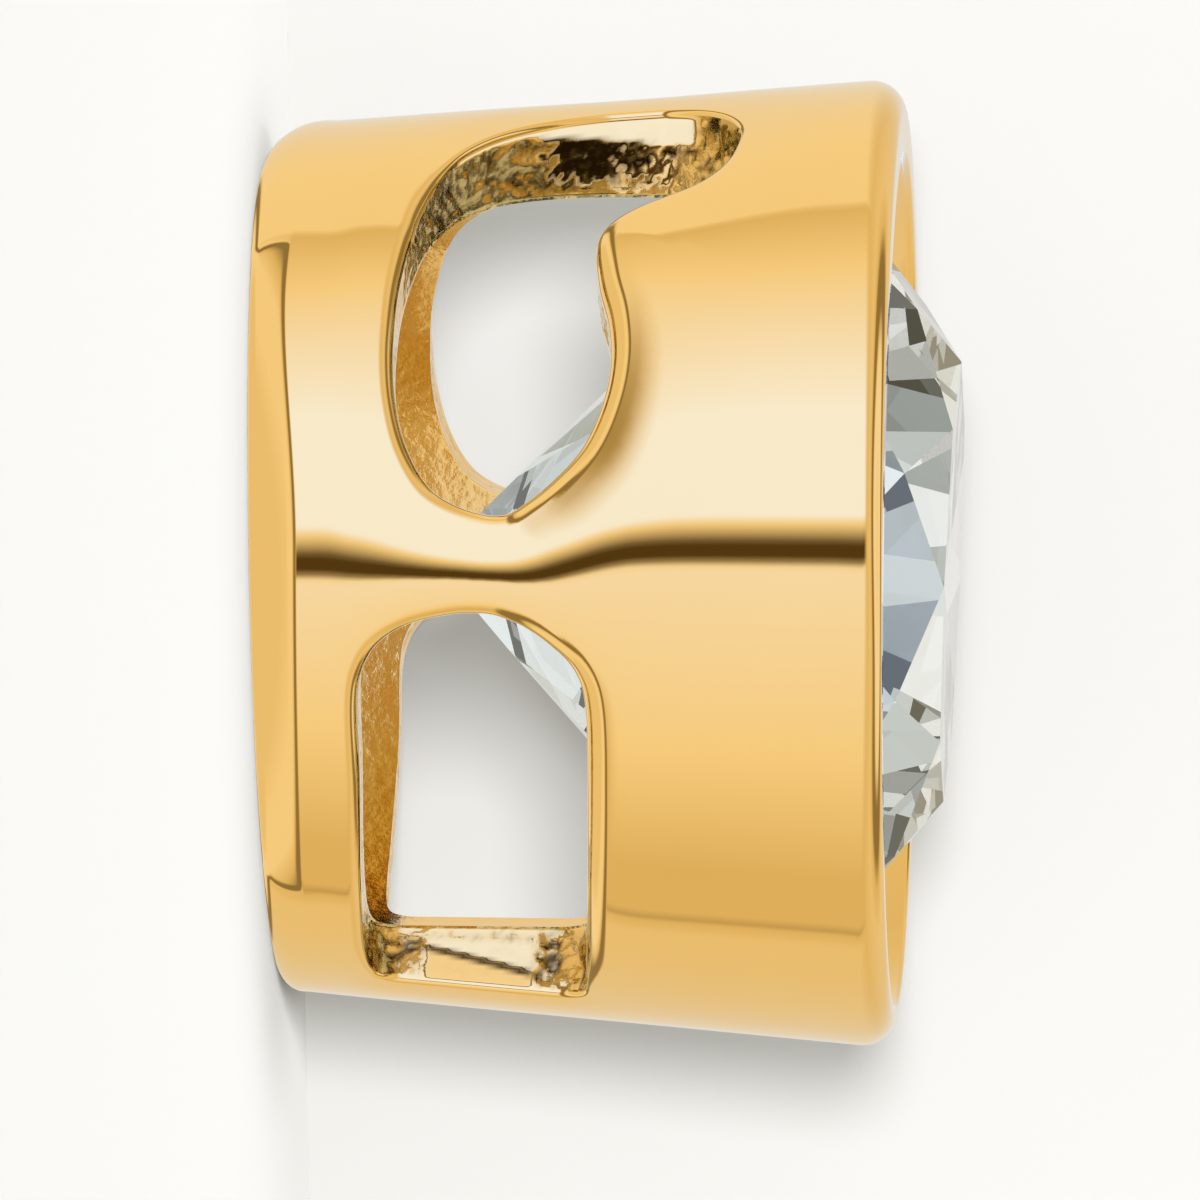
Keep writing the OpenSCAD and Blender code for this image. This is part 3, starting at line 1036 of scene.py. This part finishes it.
# Angle round the upright, from the camera's side (0) to the chain side (90) and on to the far side (180)
angle = maths("ARCTAN2", north, maths("MULTIPLY", east, -1.0))

# The gold's first reflection sees these five plain colours of light
FLAG = (0.09, 0.06, 0.02)       # black card
CARD = (0.8, 0.67, 0.42)        # warm card
SILK = (1.0, 0.93, 0.8)         # white silk
PANEL = (1.03, 1.3, 2.4)        # cool bright panel
WALL = (0.8, 0.78, 0.74)        # far wall
DIM, HALF_WARM = mix(FLAG, CARD, 0.3), mix(CARD, SILK, 0.5)
# Where the edges of the cards, the silk and the panel stand, in degrees from the camera's direction
ROUND_THE_DRUM = [(-180, WALL), (-105, HALF_WARM), (-99.5, CARD), (-98, mix(FLAG, CARD, 0.6)), (-96.5, CARD),
                  (-80, CARD), (-45, SILK), (-5, mix(SILK, PANEL, 0.4)), (-3.4, SILK), (-2.6, FLAG), (2.2, FLAG),
                  (7.4, SILK), (10, PANEL), (40, PANEL), (78, SILK), (96.5, CARD), (98, SILK), (130, SILK),
                  (180, WALL)]
band = colours(spread(angle, -math.pi, math.pi), ROUND_THE_DRUM, lambda deg: (deg + 180) / 360)
# Height of the direction over the floor picks between them and the same lights seen above and below
HEIGHTS = [(-1, 0), (-0.37, 0), (-0.3, 1), (0.05, 1), (0.34, 0), (1, 0)]
UP_AND_DOWN = [(-1, HALF_WARM), (-.74, HALF_WARM), (-.67, SILK), (-.58, SILK), (-.53, CARD), (-.49, DIM),
               (-.4, DIM), (-.33, CARD), (.22, CARD), (.6, HALF_WARM), (.7, CARD), (.76, DIM), (.84, DIM),
               (.89, SILK), (.95, mix(SILK, PANEL, 0.25)), (1, SILK)]
level = spread(height, -1.0, 1.0)
pick = colours(level, [(z, (k, k, k)) for z, k in HEIGHTS], lambda z: (z + 1) / 2)
plain = colours(level, UP_AND_DOWN, lambda z: (z + 1) / 2)
tent = blend(pick, plain, band)
# What the stone bends towards the eye: pale greys with a few dark gaps
BRIGHT, PALE_GREY, GREY, GAP = (0.95, 0.98, 1.0), (0.8, 0.86, 0.88), (0.52, 0.56, 0.56), (0.08, 0.1, 0.1)
GLINTS = [(0, PALE_GREY), (.1, PALE_GREY), (.12, GAP), (.2, GREY), (.22, BRIGHT), (.32, BRIGHT), (.35, GREY),
          (.44, GREY), (.47, GAP), (.53, GAP), (.56, GREY), (.64, BRIGHT), (.7, BRIGHT), (.73, GREY), (.8, GREY),
          (.86, BRIGHT), (.9, GAP), (1, PALE_GREY)]
around = node("ShaderNodeVectorMath")
around.operation = "DOT_PRODUCT"
around.inputs[1].default_value = (0.9, 1.7, 1.3)
link(coords.outputs["Generated"], around.inputs[0])
glints = colours(maths("PINGPONG", around.outputs["Value"], 1.0), GLINTS, lambda at: at)
rays = node("ShaderNodeLightPath").outputs
# Light that reaches the eye by two gold faces would turn orange, so the deep corners see a cooler studio
again = maths("SUBTRACT", rays["Glossy Depth"], 1.0, clamp=True)
third = maths("SUBTRACT", rays["Glossy Depth"], 2.0, clamp=True)
BY_TWO, BY_THREE = (0.66, 0.8, 1.15, 1), (1.0, 1.6, 2.7, 1)
deep = blend(again, tent, blend(third, BY_TWO, BY_THREE))
through = blend(rays["Is Transmission Ray"], deep, glints)
# The paper gets plain white light, and little by way of the gold, so the shadows stay grey
BY_GOLD, SKY_LOW, SKY_HIGH = (0.05, 0.05, 0.05, 1), 0.25, 1.65
dome = blend(rays["Is Diffuse Ray"], BY_GOLD, spread(north, -0.5, 0.5, SKY_LOW, SKY_HIGH))
soft = blend(rays["Diffuse Depth"], through, dome)
BEHIND = (0.956, 0.948, 0.914, 1)       # where the camera sees past both sheets
final = blend(rays["Is Camera Ray"], soft, BEHIND)
back = node("ShaderNodeBackground")
link(final, back.inputs["Color"])
link(back.outputs[0], out.inputs["Surface"])


def soft_sun(name, energy, angle, come_from):
    data = bpy.data.lights.new(name, "SUN")
    data.energy, data.angle = energy, math.radians(angle)
    sun = bpy.data.objects.new(name, data)
    bpy.context.scene.collection.objects.link(sun)
    sun.rotation_mode = "QUATERNION"
    sun.rotation_quaternion = (-come_from.normalized()).to_track_quat("-Z", "Y")
    sun.visible_glossy = sun.visible_transmission = False


# One light from the camera's side throws the drum's shadow on the sheet, and one from above grounds it on the floor
KEY_ACROSS, KEY_UP, KEY_FRONT = 11, 6.5, 0.02       # degrees across, degrees over the camera, and stonewards
soft_sun("key", SHEET_SUN * math.pi / SHEET_SHADE, KEY_ACROSS,
         to_camera + SIDE_UP * math.tan(math.radians(KEY_UP)) + AXIS * KEY_FRONT)
HIGH, SLANT = 0.4, 0.68     # the upper light's height in metres, and the share that its slant leaves on the floor
data = bpy.data.lights.new("top", "AREA")
data.shape, data.size, data.size_y = "RECTANGLE", 1.0 * HIGH, 0.17 * HIGH
data.energy = TOP_ON_FLOOR * math.pi * math.pi * HIGH ** 2 / SLANT
top = bpy.data.objects.new("top", data)
bpy.context.scene.collection.objects.link(top)
top.location = (0.4 * HIGH, 0.04 * HIGH, HIGH)
top.visible_camera = top.visible_glossy = top.visible_transmission = False
bpy.context.scene.view_settings.view_transform = "Standard"
print("studio:", len(t.nodes), "world nodes")
